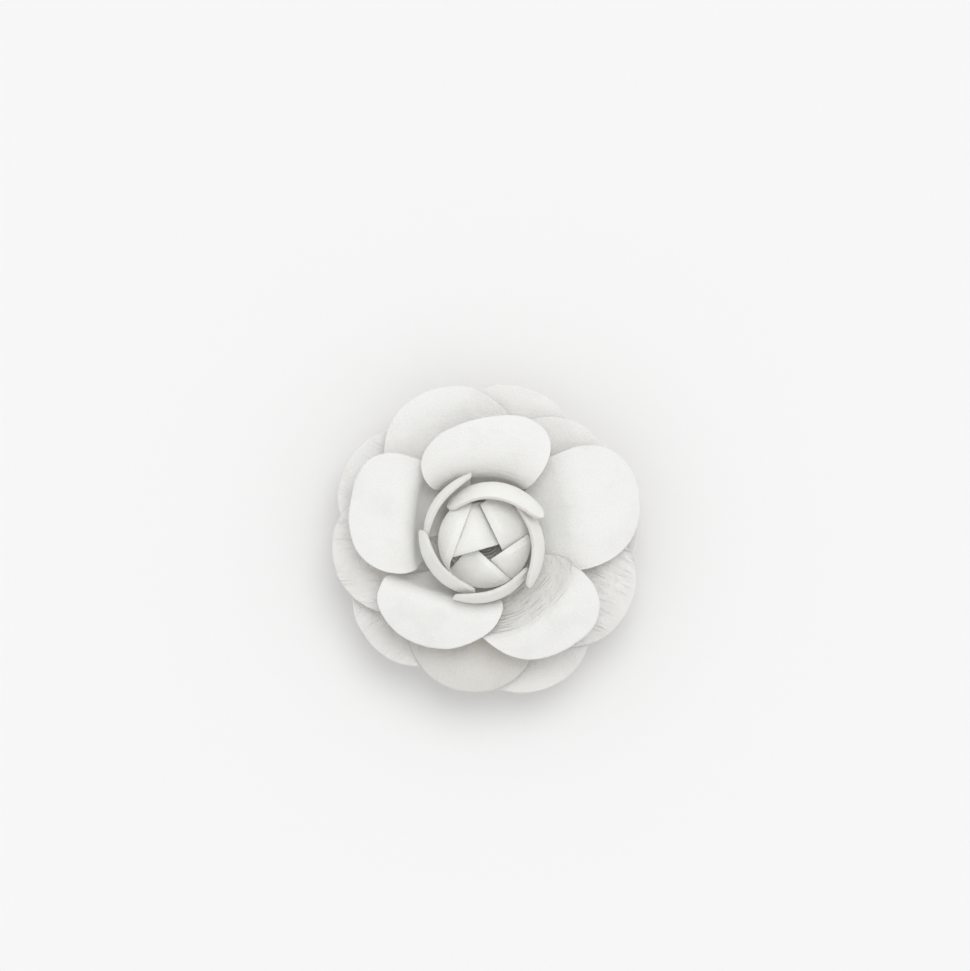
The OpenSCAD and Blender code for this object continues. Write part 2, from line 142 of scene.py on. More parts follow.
def effect(name, inputs, outputs):
    """Empty shader group with named sockets. Returns the tree, its entry and its exit."""
    tree = bpy.data.node_groups.new(name, "ShaderNodeTree")
    for label, (kind, usual) in inputs.items():
        tree.interface.new_socket(label, in_out="INPUT", socket_type=kind).default_value = usual
    for label, kind in outputs.items():
        tree.interface.new_socket(label, in_out="OUTPUT", socket_type=kind)
    return tree, tree.nodes.new("NodeGroupInput"), tree.nodes.new("NodeGroupOutput")


def noise(tree, place, scale, detail=3.0, roughness=0.5):
    """Soft random value from 0 to 1 at a place."""
    made = add(tree, "ShaderNodeTexNoise",
               {"Vector": place, "Scale": scale, "Detail": detail, "Roughness": roughness})
    return Value(tree, made.outputs["Fac"])


FLOAT = "NodeSocketFloat"
COLOUR = "NodeSocketColor"
VECTOR = "NodeSocketVector"

# Grain of the hide: small uneven cells with fine furrows between them, over a finer tooth.
grain_effect, entry, leave = effect(
    "hide grain",
    {"Place": (VECTOR, (0, 0, 0)), "Cells per metre": (FLOAT, 1200), "Tooth": (FLOAT, 0.3)},
    {"Height": FLOAT, "Furrow": FLOAT},
)
wanders_per_metre = 900
cell_wander = 0.7 * mm
furrow_width = 0.28
teeth_per_metre = 4200
wander = add(grain_effect, "ShaderNodeTexNoise",
             {"Vector": entry.outputs["Place"], "Scale": wanders_per_metre, "Detail": 2})
shift = add(grain_effect, "ShaderNodeVectorMath", {0: wander.outputs["Color"], "Scale": cell_wander},
            operation="SCALE")
uneven = add(grain_effect, "ShaderNodeVectorMath", {0: entry.outputs["Place"], 1: shift.outputs[0]},
             operation="ADD")
cells = add(grain_effect, "ShaderNodeTexVoronoi",
            {"Vector": uneven.outputs[0], "Scale": entry.outputs["Cells per metre"]},
            feature="DISTANCE_TO_EDGE")
plateau = (Value(grain_effect, cells.outputs["Distance"]) / furrow_width).eased()
tooth = noise(grain_effect, entry.outputs["Place"], teeth_per_metre, detail=4, roughness=0.6)
feed(grain_effect, plateau + tooth * Value(grain_effect, entry.outputs["Tooth"]), leave.inputs["Height"])
feed(grain_effect, 1 - plateau, leave.inputs["Furrow"])

# Handling and painted shade: soft, cloudy change from a clean shade to a duller one, plus Extra, which is
# painted shade on the leather and flecks on the felt.
tone_effect, entry, leave = effect(
    "handling and painted shade",
    {"Place": (VECTOR, (0, 0, 0)), "Clean": (COLOUR, (1, 1, 1, 1)), "Dull": (COLOUR, (0.5, 0.5, 0.5, 1)),
     "Patches per metre": (FLOAT, 70), "Cloudy": (FLOAT, 0.7), "Extra": (FLOAT, 0)},
    {"Colour": COLOUR, "Mask": FLOAT},
)
cloud_from, cloud_range = 0.38, 0.4
cloud = noise(tone_effect, entry.outputs["Place"], entry.outputs["Patches per metre"],
              detail=5, roughness=0.6)
cloud = ((cloud - cloud_from) / cloud_range).eased()
mask = (cloud * Value(tone_effect, entry.outputs["Cloudy"])
        + Value(tone_effect, entry.outputs["Extra"])).at_most(1)
# The colours of a Mix node are its inputs 6 and 7 and its output 2.
blend = add(tone_effect, "ShaderNodeMix",
            {"Factor": mask, 6: entry.outputs["Clean"], 7: entry.outputs["Dull"]}, data_type="RGBA")
feed(tone_effect, blend.outputs[2], leave.inputs["Colour"])
feed(tone_effect, mask, leave.inputs["Mask"])


def finish_coat(name, roughness, specular, sheen=0.0, metallic=0.0):
    """New material. Returns it with its tree, its main shader and its Object coordinates."""
    made = bpy.data.materials.new(name)
    made.use_nodes = True
    tree = made.node_tree
    shader = tree.nodes["Principled BSDF"]
    shader.inputs["Roughness"].default_value = roughness
    shader.inputs["Specular IOR Level"].default_value = specular
    shader.inputs["Sheen Weight"].default_value = sheen
    shader.inputs["Metallic"].default_value = metallic
    return made, tree, shader, tree.nodes.new("ShaderNodeTexCoord").outputs["Object"]


def placed(tree, group, labels):
    """Shader group in a tree, with its inputs fed by label."""
    made = tree.nodes.new("ShaderNodeGroup")
    made.node_tree = group
    for label, source in labels.items():
        feed(tree, source, made.inputs[label])
    return made


def bump(tree, height, depth, under=None):
    """Surface relief of a depth in metres, on top of another one."""
    inputs = {"Height": height, "Distance": depth, "Strength": 1.0}
    if under is not None:
        inputs["Normal"] = under
    return add(tree, "ShaderNodeBump", inputs).outputs["Normal"]


# Creases: bundles of fine ridges, close together in some places and missing in others.
# Pleats run from heel to tip, wrinkles run across the petal.
crease_effect, entry, leave = effect(
    "creases",
    {"Lay": (VECTOR, (0, 0, 0)), "Pleated": (FLOAT, 0), "Wrinkled": (FLOAT, 0)},
    {"Height": FLOAT, "Depth": FLOAT},
)
bundles_per_metre = 130
bundle_from, bundle_range = 0.36, 0.2
ridges_per_metre = {"Pleated": (430, 55, 1), "Wrinkled": (55, 480, 1)}
ridge_steepness = 5
bundles = noise(crease_effect, entry.outputs["Lay"], bundles_per_metre, detail=2)
bundles = ((bundles - bundle_from) / bundle_range).eased()
height, depth = 0, 0
for kind, stretch in ridges_per_metre.items():
    drawn = add(crease_effect, "ShaderNodeMapping", {"Vector": entry.outputs["Lay"], "Scale": stretch})
    waves = noise(crease_effect, drawn.outputs[0], scale=1.0, detail=2) - 0.5
    ridge = (1 - (waves * ridge_steepness).size()).eased()
    amount = Value(crease_effect, entry.outputs[kind]) * bundles
    height = ridge * amount + height
    depth = amount + depth
feed(crease_effect, height, leave.inputs["Height"])
feed(crease_effect, depth.at_most(1), leave.inputs["Depth"])


# The petals' shade mask is painted shade. With the grain's furrows and the grooves of creases it darkens
# the leather towards its dull colour.
KEPT_MASKS = ("shade", "pleated", "wrinkled")
cloudiness = 0.25
furrow_painted_shade, furrow_matt = 0.1, 0.12
crease_painted_shade, crease_depth = 0.2, 0.22 * mm
dull_polish = 0.06


def leather(name, clean, dull, roughness, specular, sheen, cells, tooth, depth):
    """One face of the hide. A petal's painted shade, pleats and wrinkles come from its attributes."""
    made, tree, shader, place = finish_coat(name, roughness, specular, sheen)
    shade, pleated, wrinkled = (
        add(tree, "ShaderNodeAttribute", attribute_name=kept).outputs["Fac"] for kept in KEPT_MASKS)
    lay = tree.nodes.new("ShaderNodeUVMap")
    lay.uv_map = "UVMap"
    crease = placed(tree, crease_effect, {"Lay": lay.outputs[0], "Pleated": pleated, "Wrinkled": wrinkled})
    ridge = Value(tree, crease.outputs["Height"])
    grain = placed(tree, grain_effect, {"Place": place, "Cells per metre": cells, "Tooth": tooth})
    furrow = Value(tree, grain.outputs["Furrow"])
    # Painted shade in the grooves between crease ridges and in the furrows of the grain.
    creased = Value(tree, crease.outputs["Depth"]) * crease_painted_shade - ridge * crease_painted_shade
    painted_shade = furrow * furrow_painted_shade + Value(tree, shade) + creased
    tone = placed(tree, tone_effect, {
        "Place": place, "Clean": paint(clean), "Dull": paint(dull), "Cloudy": cloudiness, "Extra": painted_shade})
    feed(tree, tone.outputs["Colour"], shader.inputs["Base Color"])
    polish = Value(tree, tone.outputs["Mask"]) * dull_polish
    feed(tree, roughness + furrow * furrow_matt - polish, shader.inputs["Roughness"])
    normal = bump(tree, grain.outputs["Height"], depth)
    feed(tree, bump(tree, ridge, crease_depth, normal), shader.inputs["Normal"])
    return made


grain_finish = {"roughness": 0.5, "specular": 0.4, "sheen": 0.0, "cells": 1150, "tooth": 0.35,
                "depth": 0.05 * mm}
grain_side = leather("white leather, grain side", "#f3f3f1", "#d6d3cd", **grain_finish)
flesh_side = leather("white leather, flesh side", "#ece9e2", "#cfc9bf", roughness=0.85, specular=0.2,
                     sheen=0.25, cells=2400, tooth=1.2, depth=0.08 * mm)
cut_edge = leather("white leather, cut edge", "#f5f3ee", "#d8d2c8", roughness=0.75, specular=0.25,
                   sheen=0.1, cells=3000, tooth=1.5, depth=0.06 * mm)


def turned(name, profile, material, sides=128):
    """Solid of revolution about Z from (radius, height) points, the first and last on the axis."""
    ring = [(math.cos(2 * math.pi * k / sides), math.sin(2 * math.pi * k / sides)) for k in range(sides)]
    points = [(0, 0, profile[0][1])]
    for radius, height in profile[1:-1]:
        points += [(radius * c, radius * s, height) for c, s in ring]
    points.append((0, 0, profile[-1][1]))
    faces = []
    for k in range(sides):
        following = (k + 1) % sides
        faces.append((0, 1 + following, 1 + k))
        for row in range(len(profile) - 3):
            low = 1 + row * sides
            faces.append((low + k, low + following, low + sides + following, low + sides + k))
        last = 1 + (len(profile) - 3) * sides
        faces.append((last + k, last + following, len(points) - 1))
    mesh = bpy.data.meshes.new(name)
    mesh.from_pydata(points, [], faces)
    mesh.materials.append(material)
    mesh.polygons.foreach_set("use_smooth", [True] * len(mesh.polygons))
    piece = bpy.data.objects.new(name, mesh)
    bpy.context.scene.collection.objects.link(piece)
    return piece


def rounded_disc(radius, low, high, edge, steps=6, rows=8):
    """Profile of a disc whose rim is rounded by edge, from the underside's centre to the top's."""
    flat = [(radius - edge) * k / rows for k in range(rows)]
    turn = [math.radians(180 * k / (2 * steps)) for k in range(2 * steps + 1)]
    thick = (high - low) / 2
    rim = [(radius - edge + edge * math.sin(a), (low + high) / 2 - thick * math.cos(a)) for a in turn]
    return [(r, low) for r in flat] + rim + [(r, high) for r in reversed(flat)]


disc_edge = 0.25 * mm
low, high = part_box("base_disc")
base_disc = turned("base_disc_leather", rounded_disc(high.x, low.z, high.z, disc_edge), cut_edge)
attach(base_disc, "flower")
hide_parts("base_disc")


# Outer petals: five rounded blanks of white leather, wetted and bent over the hand until they keep
# their curve. Each heel is glued to the base, and each petal lies over the next like a shingle.
leather_thick = 1.0 * mm
petal_gap = 0.35 * mm
heel_radius = 6 * mm
heel_width = 8 * mm
shingle_turn = math.radians(60)
pitch = leather_thick + petal_gap
heel_climb = pitch * heel_width / 2 / heel_radius / shingle_turn
outer_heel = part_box("base_disc")[1].z + heel_climb + leather_thick / 2 + petal_gap
ring_step = 2.6 * pitch
face_level = 0.5
edge_level = 0.34
facing_least = 0.5


def sizes_of(tree, usual):
    """Adds a named input to a tree for each size and returns them all as values."""
    for label, setting in usual.items():
        tree.interface.new_socket(label, in_out="INPUT", socket_type=FLOAT).default_value = setting
    entry = tree.nodes.new("NodeGroupInput")
    return {label: Value(tree, entry.outputs[label]) for label in usual}


def blank(tree, rows, cols):
    """Flat blank as a closed sheet. Returns its mesh, u from heel to tip, v across, its level and rim.

    Level runs through the thickness. Rim is 1 on the upper and lower face, whose outlines the
    pieces draw in a little to round the cut edge, and 0 on the two layers between them."""
    sheet = add(tree, "GeometryNodeMeshCube",
                {"Size": (1, 2, 1), "Vertices X": rows, "Vertices Y": cols, "Vertices Z": 4})
    split = add(tree, "ShaderNodeSeparateXYZ", {0: tree.nodes.new("GeometryNodeInputPosition").outputs[0]})
    x, y, z = (Value(tree, socket) for socket in split.outputs)
    rim = z.size().above(edge_level)
    level = z.math("SIGN") * (edge_level + (face_level - edge_level) * rim)
    up = add(tree, "ShaderNodeSeparateXYZ", {0: tree.nodes.new("GeometryNodeInputNormal").outputs[0]})
    side = add(tree, "GeometryNodeStoreNamedAttribute",
               {"Geometry": sheet.outputs["Mesh"], "Name": "side", "Value": up.outputs[2]}, domain="FACE")
    return side.outputs[0], x + 0.5, y, level, rim


def close_tree(tree, shape, *coats):
    """Ends a tree with its plain mesh, and each (faces, material) laid over the one before."""
    whole = add(tree, "GeometryNodeRealizeInstances", {"Geometry": shape}).outputs[0]
    for faces, material in coats:
        whole = add(tree, "GeometryNodeSetMaterial",
                    {"Geometry": whole, "Selection": faces, "Material": material}).outputs[0]
    tree.interface.new_socket("Piece", in_out="OUTPUT", socket_type="NodeSocketGeometry")
    feed(tree, whole, tree.nodes.new("NodeGroupOutput").inputs["Piece"])


def leave_tree(tree, sheet, spot, lay, coats, masks=(0, 0, 0)):
    """Moves the blank to its place and keeps its lay and masks for the finish.

    The coats are those of its cut edge, its upper face and its lower face."""
    kept_values = [("UVMap", "FLOAT2", "CORNER", lay)]
    kept_values += [(name, "FLOAT", "POINT", source) for name, source in zip(KEPT_MASKS, masks)]
    for name, kind, domain, source in kept_values:
        kept = add(tree, "GeometryNodeStoreNamedAttribute", {"Geometry": sheet, "Name": name},
                   data_type=kind, domain=domain)
        feed(tree, source, kept.inputs["Value"])
        sheet = kept.outputs[0]
    shaped = add(tree, "GeometryNodeSetPosition", {"Geometry": sheet, "Position": spot})
    smooth = add(tree, "GeometryNodeSetShadeSmooth", {"Geometry": shaped.outputs[0]})
    side = add(tree, "GeometryNodeInputNamedAttribute", {"Name": "side"}, data_type="FLOAT")
    facing = Value(tree, side.outputs[0])
    edge, upper, lower = coats
    close_tree(tree, smooth.outputs[0], (True, edge), (facing.above(facing_least), upper),
               ((facing * -1).above(facing_least), lower))


def vector(tree, x, y, z):
    return add(tree, "ShaderNodeCombineXYZ", {0: x, 1: y, 2: z}).outputs[0]


grain_up = (cut_edge, grain_side, flesh_side)
rim_round = 0.15 * mm
edge_waves = 2.6
lip_length = 3 * mm
dents_per_metre = 85
sharp_turn = -40
fold_pleats = 0.8
flatten_length = 5 * mm
wrinkle_from, wrinkle_range = 7.8 * mm, 6 * mm
heel_painted_shade_length = 14 * mm


def ring_tree(name, ring, bends, cup_sides=(), coats=grain_up):
    """Tree that shapes a blank into a petal of one ring.

    Seen from the side the petal is a chain of bends, (run, turn). Across, it spreads round the
    flower's axis, climbing by one pitch per shingle turn so that neighbours lie over one another."""
    tree = bpy.data.node_groups.new(name, "GeometryNodeTree")
    usual = {"Bearing": 0, "Length": 40 * mm, "End": 20 * mm, "Width": 40 * mm, "Blunt": 2.3, "Skew": 0,
             "Raise": 0, "Shingle": 1, "Seed": 0, "Lip": 0, "Corner": 6, "Painted shade": 0, "Heel painted shade": 0,
             "Pleated": 0, "Wrinkled": 0, "Creases end": 60 * mm} | ring
    for k, (bearing, share) in enumerate(cup_sides):
        usual[f"Side {k + 1}"] = share
    for k, (run, turn) in enumerate(bends):
        usual |= {f"Run {k + 1}": run, f"Turn {k + 1}": math.radians(turn)}
    size = sizes_of(tree, usual)
    sheet, u, v, level, rim = blank(tree, rows=72, cols=72)

    across = (v * (math.pi / 2)).sin() * (1 - rim * rim_round / (size["Width"] / 2))
    end = size["End"] * (1 - across.size() ** size["Blunt"]).at_least(0) ** (1 / size["Blunt"])
    wobble = noise(tree, vector(tree, across, size["Seed"], 0), edge_waves, detail=2) - 0.5
    tip = size["Length"] - size["End"] + end + size["Skew"] * across + wobble * size["Uneven edge"]
    s = u * tip * (1 - rim * rim_round / size["Length"])
    widened = (s / size["Grow"]).eased()
    half = (size["Heel width"] + (size["Width"] - size["Heel width"]) * widened) / 2

    out, up, heading, left = size["Heel radius"], size["Heel height"], size["Lift"], s
    flattened = ((s - size["Creases end"]) / flatten_length).eased()
    pleated = size["Pleated"] * (1 - flattened)
    # A bend's chord is its run by sin(x) / x at half its swing, here by that rule's first three terms.
    for k, (run, turn) in enumerate(bends):
        reach = left.at_least(0)
        if k < len(bends) - 1:
            reach = reach.at_most(size[f"Run {k + 1}"])
        share = reach / size[f"Run {k + 1}"]
        swing = size[f"Turn {k + 1}"] * share
        chord = reach * (1 - swing * swing / 24 + (swing * swing) * (swing * swing) / 1920)
        out = out + chord * (heading + swing / 2).cos()
        up = up + chord * (heading + swing / 2).sin()
        heading = heading + swing
        left = left - size[f"Run {k + 1}"]
        if turn < sharp_turn:
            pleated = pleated + (share * (1 - share)).at_least(0) * fold_pleats

    def pull(angle):
        """How far a cup with five rounded sides lies out at an angle, as a share of a round one."""
        total = 0
        for k, (bearing, share) in enumerate(cup_sides):
            facing = (angle - math.radians(bearing)).cos().at_least(0)
            total = total + (facing / size[f"Side {k + 1}"]) ** size["Corner"]
        return total ** (-1 / size["Corner"])

    if cup_sides:
        spread = (half * across).math("ARCTAN2", out * pull(size["Bearing"]))
    else:
        spread = half * across / out
    angle = size["Bearing"] + spread
    room = size["Low pitch"] + (size["High pitch"] - size["Low pitch"]) * widened
    flat_spot = vector(tree, out * angle.cos(), out * angle.sin(), size["Heel height"])
    dents = noise(tree, flat_spot, dents_per_metre, detail=2.5) - 0.5
    near_tip = ((s - tip) / lip_length + 1).eased()
    layer = (size["Raise"] + size["Shingle"] * spread / shingle_turn) * room + dents * size["Dents"]
    layer = layer + level * size["Thickness"] * (1 + size["Lip"] * near_tip)
    radius = out - layer * heading.sin()
    if cup_sides:
        radius = radius * pull(angle)
    spot = vector(tree, radius * angle.cos(), radius * angle.sin(), up + layer * heading.cos())
    wrinkled = size["Wrinkled"] * ((s - wrinkle_from) / wrinkle_range).eased() * (1 - flattened)
    # Painted shade: the petal's own, and more towards the heel, at the foot of the cup.
    shade = size["Painted shade"] + size["Heel painted shade"] * (2 - s / heel_painted_shade_length).eased()
    leave_tree(tree, sheet, spot, vector(tree, half * across, s, 0), coats, (shade, pleated, wrinkled))
    return tree


def grown(name, tree, sizes, ground=None):
    """Plain object made by a tree with the given sizes, on the ground mesh if it needs one."""
    piece = bpy.data.objects.new(name, ground or bpy.data.meshes.new(name))
    bpy.context.scene.collection.objects.link(piece)
    shaper = piece.modifiers.new("shape", "NODES")
    shaper.node_group = tree
    sockets = {item.name: item.identifier for item in tree.interface.items_tree if item.in_out == "INPUT"}
    for label, setting in sizes.items():
        shaper[sockets[label]] = setting
    graph = bpy.context.evaluated_depsgraph_get()
    plain = bpy.data.meshes.new_from_object(
        piece.evaluated_get(graph), preserve_all_data_layers=True, depsgraph=graph)
    piece.modifiers.clear()
    piece.data = plain
    return piece


def petal(node, tree, sizes):
    """Leather petal in the place of a CAD node."""
    piece = grown(f"{node}_leather", tree, sizes)
    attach(piece, "flower")
    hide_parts(node)


flat_ring = {"Heel radius": heel_radius, "Heel width": heel_width, "Thickness": leather_thick,
             "Grow": 24 * mm, "Low pitch": pitch, "High pitch": pitch, "Dents": 0.9 * mm,
             "Uneven edge": 0.9 * mm}
outer_tree = ring_tree(
    "outer petal", flat_ring | {"Heel height": outer_heel, "Lift": math.radians(3)},
    [(10 * mm, 7), (12 * mm, 3), (14 * mm, -9), (16 * mm, -24)])
outer_length, outer_width = 45 * mm, 52 * mm
round_end = 24 * mm
outer_seed = 0.3
outer_bearing = [75, 4, -65, -138, 150]
outer_share = [1.01, 0.97, 1.02, 0.97, 1]
# Painted shade darkens the lower outer petals.
outer_painted_shade = [0, 0, 0.1, 0.12, 0]
outer_pleated = [0.1, 0.1, 0.3, 0.9, 0.6]
for k in range(5):
    petal(f"outer_petal_{k + 1}", outer_tree, {
        "Bearing": math.radians(outer_bearing[k]), "Length": outer_length * outer_share[k],
        "End": round_end, "Width": outer_width, "Seed": k + outer_seed, "Painted shade": outer_painted_shade[k],
        "Pleated": outer_pleated[k]})


# Middle petals: five more blanks of the same leather, set over the gaps between the outer ones and
# bent a little more. They are creased where they were pinched between finger and thumb.
middle_heel = outer_heel + ring_step
middle_length, middle_width = 44.5 * mm, 50 * mm
middle_turns = [8, 2, -12, -24]
middle_seed = 7.1
middle_tree = ring_tree(
    "middle petal", flat_ring | {"Heel height": middle_heel, "Lift": math.radians(4)},
    list(zip((10 * mm, 12 * mm, 14 * mm, 16 * mm), middle_turns)))
middle_bearing = [110, 42, -25, -97, -175]
middle_share = [1.03, 0.98, 1.035, 0.975, 0.975]
middle_blunt = [2.5, 2.3, 2.3, 2.3, 2.3]
middle_droop = [1, 1, 1.3, 1.7, 1.4]
# Painted shade darkens the lower middle petals, the bottom one most.
middle_painted_shade = [0, 0, 0.15, 0.6, 0.15]
middle_pleated = [0.3, 0.2, 1.7, 0.5, 1.2]
middle_creases_end = [60, 60, 41, 60, 60]
for k in range(5):
    petal(f"middle_petal_{k + 1}", middle_tree, {
        "Bearing": math.radians(middle_bearing[k]), "Length": middle_length * middle_share[k],
        "End": round_end, "Width": middle_width, "Blunt": middle_blunt[k],
        "Turn 3": math.radians(middle_turns[2] * middle_droop[k]),
        "Turn 4": math.radians(middle_turns[3] * middle_droop[k]), "Seed": k + middle_seed,
        "Painted shade": middle_painted_shade[k], "Pleated": middle_pleated[k], "Creases end": middle_creases_end[k] * mm})


# Inner petals: five white blanks turned up into a deep cup and folded back over its edge while damp.
# Glued by the heel, the first lies over both its neighbours, the second under both, and the rest are
# shingled.
inner_heel = middle_heel + ring_step
inner_length, inner_width, inner_end = 40 * mm, 41 * mm, 17 * mm
inner_seed = 13.7
cup_slack = 0.3 * mm
bud_radius = 15 * mm
wrap_base = bud_radius - 4.5 * mm
cup_base = wrap_base - 2.2 * mm
cup_lift = 8
cup_last_side = 1.16
cup_ring = flat_ring | {"Heel height": inner_heel, "Lift": math.radians(cup_lift),
                        "Low pitch": pitch + cup_slack, "High pitch": pitch + cup_slack, "Dents": 0.7 * mm}
inner_tree = ring_tree(
    "inner petal", cup_ring,
    [(cup_base, 8), (4 * mm, 28), (4 * mm, 28), (8.5 * mm, -78), (13 * mm, -12), (14 * mm, -18)],
    cup_sides=[(90, 1.12), (8, 1.06), (-50, 1.06), (-108, 1), (173, cup_last_side)])
inner_bearing = [92.5, 16, -55, -117, 164]
inner_share = [0.835, 1.13, 0.954, 0.915, 0.915]
inner_wide = [1.366, 1, 1.23, 1.034, 1.02]
inner_round = [0.67, 1.18, 1.04, 0.926, 1.06]
inner_blunt = [2.35, 2.2, 2.4, 1.72, 2.5]
inner_skew = [-0.132, 0, 0.107, -0.08, 0]
# Each turns up in two steps, a slope and a wall. The second and third start up sooner,
# the third has the longest slope, and after the fold all fall alike.
after_fold = -6
inner_rise = [8, 16, 12, 8, 8]
inner_slope = [4, 6, 9, 4, 4]
slope_turn = [28, 3, 2, 28, 28]
inner_wall = [4, 6, 7, 4, 4]
wall_turn = [28, 3, 30, 28, 28]
inner_fold = [8.5, 8.5, 6.5, 8.5, 8.5]
inner_grow = [29, 22, 22, 22, 22]
inner_raise = [0.7, -0.65, 0, 0, 0]
inner_shingle = [0, 0.5, 1, 1, 1]
# The first rounds off the cup's corners and the fourth runs on past the next one's side.
inner_corner = [3, 6, 6, 6, 6]
inner_past_side = [1, 1, 1, 1.3, 1]
# Painted shade at the heel of the first and third, at the foot of the cup beside the bud.
inner_painted_shade = [0.4, 0, 0.45, 0, 0]
inner_pleated = [0, 0.25, 0, 0, 0]
inner_wrinkled = [0.25, 0.1, 1.1, 0.15, 0.15]
inner_creases_end = [30, 20, 24, 24, 24]
for k in range(5):
    petal(f"inner_petal_{k + 1}", inner_tree, {
        "Bearing": math.radians(inner_bearing[k]), "Length": inner_length * inner_share[k],
        "End": inner_end * inner_round[k], "Width": inner_width * inner_wide[k], "Blunt": inner_blunt[k],
        "Skew": inner_width * inner_skew[k], "Raise": inner_raise[k], "Shingle": inner_shingle[k],
        "Turn 1": math.radians(inner_rise[k]), "Run 2": inner_slope[k] * mm,
        "Turn 2": math.radians(slope_turn[k]), "Run 3": inner_wall[k] * mm,
        "Turn 3": math.radians(wall_turn[k]), "Run 4": inner_fold[k] * mm,
        "Turn 4": math.radians(after_fold - cup_lift - inner_rise[k] - slope_turn[k] - wall_turn[k]),
        "Grow": inner_grow[k] * mm, "Corner": inner_corner[k],
        "Side 5": cup_last_side * inner_past_side[k], "Seed": k + inner_seed,
        "Heel painted shade": inner_painted_shade[k], "Pleated": inner_pleated[k], "Wrinkled": inner_wrinkled[k],
        "Creases end": inner_creases_end[k] * mm})


# Wrap petals: five short blanks stood on end round the bud, of a slightly warmer leather that shows
# its grain on both sides. They are glued by the heel, spiral in towards the bud and lean in over it,
# and their upper edges are pressed over, so that they look thicker there.
bud_side = leather("warm white leather, grain side", "#f4f4f0", "#d7d4cd", **grain_finish)
wrap_heel = inner_heel + ring_step + cup_slack
wrap_length, wrap_width, wrap_end = 25 * mm, 31 * mm, 7 * mm
wrap_blunt = 2.2
wrap_lip = 0.4
wrap_seed = 21.9
wrap_ring = flat_ring | {"Heel height": wrap_heel, "Lift": math.radians(20), "Grow": 20 * mm,
                         "High pitch": 2.6 * mm, "Dents": 0.4 * mm, "Uneven edge": 0.7 * mm}
wrap_tree = ring_tree("wrap petal", wrap_ring, [(wrap_base, 5), (7 * mm, 79), (8 * mm, 32)],
                      coats=(cut_edge, bud_side, bud_side))
wrap_bearing = [139.5, 80, 2, -75, -145]
wrap_share = [0.96, 1.056, 0.98, 0.936, 0.98]
wrap_wide = [0.91, 1.145, 1, 0.935, 0.935]
# The first wrap stands a little outside the spiral of the others.
wrap_out = [1.8, 0, 0, 0, 0]
wrap_raise = [0.03, -0.05, 0, 0, -0.08]
wrap_shingle = [0.86, 1, 1, 1, 1]
for k in range(5):
    petal(f"wrap_petal_{k + 1}", wrap_tree, {
        "Bearing": math.radians(wrap_bearing[k]), "Length": wrap_length * wrap_share[k],
        "End": wrap_end, "Width": wrap_width * wrap_wide[k], "Blunt": wrap_blunt, "Raise": wrap_raise[k],
        "Shingle": wrap_shingle[k], "Run 1": wrap_base + wrap_out[k] * mm, "Seed": k + wrap_seed,
        "Lip": wrap_lip})


# Bud core: a tapered strip of the leather rolled up tight into a plug and glued to the base. The petals
# stand round its stalk, and the bud's petals lie over its head, which shows dark in their opening.
core_clear = 0.1 * mm
foot_clear = 0.05 * mm
stalk_clear = 1.1 * mm
roll_rim = 0.01
bud_clear = 0.25 * mm
bud_rise = 1.2 * (leather_thick + bud_clear)
bud_dome = 7 * mm
bud_top = wrap_heel + 15 * mm
core_low, core_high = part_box("bud_core")
core_top = bud_top - bud_rise - leather_thick / 2 - petal_gap


def core_tree():
    """Tree that rolls a blank up: u runs along the strip from the middle of the roll, v up its width."""
    tree = bpy.data.node_groups.new("rolled core", "GeometryNodeTree")
    size = sizes_of(tree, {
        "Radius": core_high.x - core_clear, "Stalk radius": heel_radius - stalk_clear,
        "Foot": core_low.z + foot_clear, "Neck": wrap_heel + 2.8 * mm,
        "Brim": core_top - bud_dome + 0.6 * mm, "Top": core_top - core_clear, "Dome": bud_dome,
        "Dip": 4 * mm, "Dip radius": 0.62 * bud_radius, "Bud radius": bud_radius,
        "Thickness": leather_thick, "Turn": 1.08 * mm})
    sheet, u, v, level, rim = blank(tree, rows=700, cols=8)
    out = size["Thickness"] / 2 + (size["Radius"] - size["Thickness"]) * u ** 0.5
    angle = out / size["Turn"] * (2 * math.pi)
    flare = ((out - size["Stalk radius"]) / (size["Radius"] - size["Stalk radius"])).at_least(0)
    past_stalk = out.above(size["Stalk radius"])
    lifted = size["Neck"] - size["Foot"] + (size["Brim"] - size["Neck"]) * flare
    under = size["Foot"] + past_stalk * lifted
    over = size["Top"] - size["Dome"] * (out / size["Bud radius"]) ** 2
    over = over - size["Dip"] * (2 - out * 2 / size["Dip radius"]).eased()
    height = under + (over - under).at_least(size["Thickness"]) * (v + 1) / 2 * (1 - rim * roll_rim)
    radius = out + level * size["Thickness"]
    spot = vector(tree, radius * angle.cos(), radius * angle.sin(), height)
    leave_tree(tree, sheet, spot, vector(tree, out, height, 0), (cut_edge, flesh_side, flesh_side))
    return tree


petal("bud_core", core_tree(), {})


# Bud petals: five small blanks of the wraps' leather, each folded under along one straight edge and
# glued over the core like a pinwheel, round a small opening beside the flower's axis.
bud_up = (cut_edge, bud_side, flesh_side)
bud_rim_round = 0.02
bud_dents = 0.4 * mm
bud_dents_per_metre, bud_dents_level = 130, 0.2
hump_length = 7 * mm
hump_from, hump_range = 2 * mm, 5 * mm
hump_pleats = 0.3
bud_ease = 0.187 * bud_radius
bud_opening = [0.133 * bud_radius, -0.26 * bud_radius]


